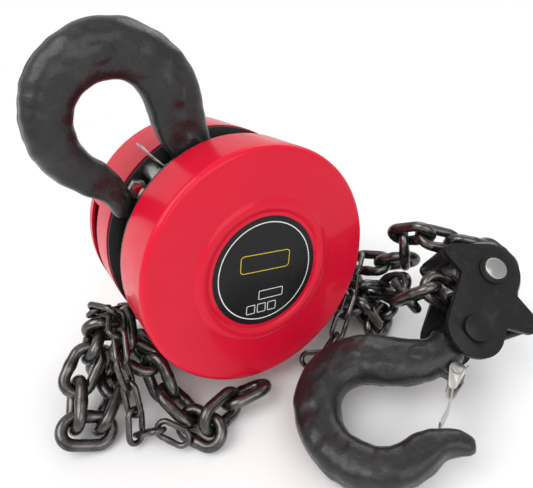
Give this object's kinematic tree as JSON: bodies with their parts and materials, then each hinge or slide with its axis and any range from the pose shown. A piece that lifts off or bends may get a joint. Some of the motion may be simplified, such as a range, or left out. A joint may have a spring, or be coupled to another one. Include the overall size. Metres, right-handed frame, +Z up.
{
  "type": "chain hoist",
  "caption": "Manual chain hoist lying on a floor: round geared head, two forged hooks with latches, lower sheave block and slack chains.",
  "frame": {"origin": "middle of the bounding box, on the floor that the hoist lies on", "axes": "+Z up from the floor, +X the longest side, from the head to the lower block; +Y away from the viewer"},
  "size_m": [0.4246, 0.3179, 0.3124],
  "materials": {
    "red_enamel": "gloss stove enamel",
    "black_plate": "satin black",
    "label_black": "gloss black with a white ring",
    "zinc": "zinc plated",
    "forged_black": "black paint on a forged skin",
    "gear_steel": "oiled machined steel",
    "cast_wheel": "cast, oiled",
    "bronze": "plain bearing bronze",
    "friction_lining": "moulded lining",
    "turned_steel": "turned bright",
    "spring_steel": "bright spring wire",
    "chain_steel": "heat treated dark steel, oiled"
  },
  "bodies": {
    "root": {"front_side_plate": "black_plate", "rear_side_plate": "black_plate", "front_cover": "red_enamel", "rear_cover": "red_enamel", "front_label": "label_black", "frame_stays": "zinc", "frame_stay_nuts": "zinc", "cover_studs": "red_enamel", "cover_nuts": "zinc", "front_sheave_bearing": "gear_steel", "rear_sheave_bearing": "gear_steel", "gear_shaft_bushes": "bronze", "gear_plate": "black_plate", "gear_plate_posts": "zinc", "pawl_pins": "zinc", "pawl_springs": "spring_steel", "guide_roller_pins": "zinc", "chain_stripper": "black_plate", "stripper_pins": "zinc", "chain_anchor_pin": "zinc", "lower_front_plate": "black_plate", "lower_rear_plate": "black_plate", "lower_block_bars": "black_plate", "lower_sheave_axle": "turned_steel", "lower_axle_washers": "black_plate", "load_chain_on_sheave": "chain_steel", "hand_chain_on_wheel": "chain_steel", "load_chain_left": "chain_steel", "load_chain_right": "chain_steel", "load_chain_end": "chain_steel", "hand_chain_right": "chain_steel", "hand_chain_left": "chain_steel"},
    "load_sheave": {"load_sheave": "cast_wheel", "load_gear": "gear_steel", "load_gear_clip": "zinc"},
    "drive": {"drive_shaft": "gear_steel", "brake_hub": "gear_steel", "friction_discs": "friction_lining", "hand_wheel": "cast_wheel", "hand_wheel_nut": "zinc"},
    "left_disc_gear": {"left_disc_gear": "gear_steel"},
    "right_disc_gear": {"right_disc_gear": "gear_steel"},
    "ratchet_disc": {"ratchet_disc": "gear_steel"},
    "upper_pawl": {"upper_pawl": "gear_steel"},
    "lower_pawl": {"lower_pawl": "gear_steel"},
    "left_guide_roller": {"left_guide_roller": "gear_steel"},
    "right_guide_roller": {"right_guide_roller": "gear_steel"},
    "top_beam": {"top_hook_beam": "forged_black"},
    "top_hook": {"top_hook": "forged_black", "top_hook_nut": "forged_black", "top_latch_pin": "zinc", "top_latch_spring": "spring_steel"},
    "top_latch": {"top_hook_latch": "zinc"},
    "lower_sheave": {"lower_sheave": "gear_steel"},
    "lower_yoke": {"lower_hook_yoke": "black_plate"},
    "lower_hook": {"lower_hook": "forged_black", "lower_hook_nut": "forged_black", "lower_latch_pin": "zinc", "lower_latch_spring": "spring_steel"},
    "lower_latch": {"lower_hook_latch": "zinc"}
  },
  "joints": [
    {"name": "load_sheave_spin", "type": "hinge", "parent": "root", "child": "load_sheave", "pos_m": [-0.07213, 0.02856, 0.11679], "axis": [0.5245, -0.8394, 0.1426], "continuous": true, "deforming": ["load_chain_on_sheave"]},
    {"name": "drive_spin", "type": "hinge", "parent": "root", "child": "drive", "pos_m": [-0.07213, 0.02856, 0.11679], "axis": [0.5245, -0.8394, 0.1426], "continuous": true, "deforming": ["hand_chain_on_wheel"]},
    {"name": "left_disc_gear_spin", "type": "hinge", "parent": "root", "child": "left_disc_gear", "pos_m": [-0.11669, 0.00219, 0.12546], "axis": [0.5245, -0.8394, 0.1426], "continuous": true},
    {"name": "right_disc_gear_spin", "type": "hinge", "parent": "root", "child": "right_disc_gear", "pos_m": [-0.02757, 0.05493, 0.10812], "axis": [0.5245, -0.8394, 0.1426], "continuous": true},
    {"name": "ratchet_disc_turn", "type": "hinge", "parent": "root", "child": "ratchet_disc", "pos_m": [-0.07213, 0.02856, 0.11679], "axis": [0.5245, -0.8394, 0.1426], "range_deg": [-16, 0]},
    {"name": "upper_pawl_lift", "type": "hinge", "parent": "root", "child": "upper_pawl", "pos_m": [-0.08896, 0.03028, 0.18883], "axis": [0.5245, -0.8394, 0.1426], "range_deg": [0, 8], "deforming": ["pawl_springs"]},
    {"name": "lower_pawl_lift", "type": "hinge", "parent": "root", "child": "lower_pawl", "pos_m": [-0.0553, 0.02683, 0.04475], "axis": [0.5245, -0.8394, 0.1426], "range_deg": [0, 8], "deforming": ["pawl_springs"]},
    {"name": "left_guide_roller_spin", "type": "hinge", "parent": "root", "child": "left_guide_roller", "pos_m": [-0.12335, -0.00444, 0.11093], "axis": [0.5245, -0.8394, 0.1426], "continuous": true},
    {"name": "right_guide_roller_spin", "type": "hinge", "parent": "root", "child": "right_guide_roller", "pos_m": [-0.02305, 0.05492, 0.09142], "axis": [0.5245, -0.8394, 0.1426], "continuous": true},
    {"name": "top_hook_swing", "type": "hinge", "parent": "root", "child": "top_beam", "pos_m": [-0.06744, 0.04309, 0.1851], "axis": [0.5245, -0.8394, 0.1426], "range_deg": [-112, 0]},
    {"name": "top_hook_swivel", "type": "hinge", "parent": "top_beam", "child": "top_hook", "pos_m": [-0.06744, 0.04309, 0.1851], "axis": [-0.7475, -0.3738, 0.5492], "range_deg": [-5, 5]},
    {"name": "top_latch_close", "type": "hinge", "parent": "top_hook", "child": "top_latch", "pos_m": [-0.10203, 0.0215, 0.18525], "axis": [0.5245, -0.8394, 0.1426], "range_deg": [0, 36.5], "stiffness_Nm_per_rad": 0.02, "deforming": ["top_latch_spring"]},
    {"name": "lower_sheave_spin", "type": "hinge", "parent": "root", "child": "lower_sheave", "pos_m": [0.16625, 0.01132, 0.08438], "axis": [0.1262, -0.5345, 0.8357], "continuous": true},
    {"name": "lower_hook_swing", "type": "hinge", "parent": "root", "child": "lower_yoke", "pos_m": [0.14027, -0.03594, 0.05808], "axis": [0.1262, -0.5345, 0.8357], "range_deg": [-10, 100], "deforming": ["load_chain_left", "load_chain_right", "load_chain_end", "hand_chain_left", "hand_chain_right"]},
    {"name": "lower_hook_swivel", "type": "hinge", "parent": "lower_yoke", "child": "lower_hook", "pos_m": [0.14027, -0.03594, 0.05808], "axis": [-0.7941, -0.5593, -0.2378], "continuous": true, "deforming": ["load_chain_left", "load_chain_right", "load_chain_end", "hand_chain_left", "hand_chain_right"]},
    {"name": "lower_latch_open", "type": "hinge", "parent": "lower_hook", "child": "lower_latch", "pos_m": [0.1263, -0.0733, 0.04959], "axis": [-0.1839, -0.1518, 0.9712], "range_deg": [-40, 0], "stiffness_Nm_per_rad": 0.02, "deforming": ["lower_latch_spring"]}
  ],
  "couplings": [
    {"joint": "left_disc_gear_spin", "follows": "load_sheave_spin", "ratio": -2.8182},
    {"joint": "right_disc_gear_spin", "follows": "load_sheave_spin", "ratio": -2.8182},
    {"joint": "drive_spin", "follows": "load_sheave_spin", "ratio": 13.621},
    {"joint": "upper_pawl_lift", "follows": "ratchet_disc_turn", "ratio": -0.49},
    {"joint": "lower_pawl_lift", "follows": "ratchet_disc_turn", "ratio": -0.49},
    {"joint": "top_latch_close", "follows": "top_hook_swing", "ratio": -0.32589}
  ]
}
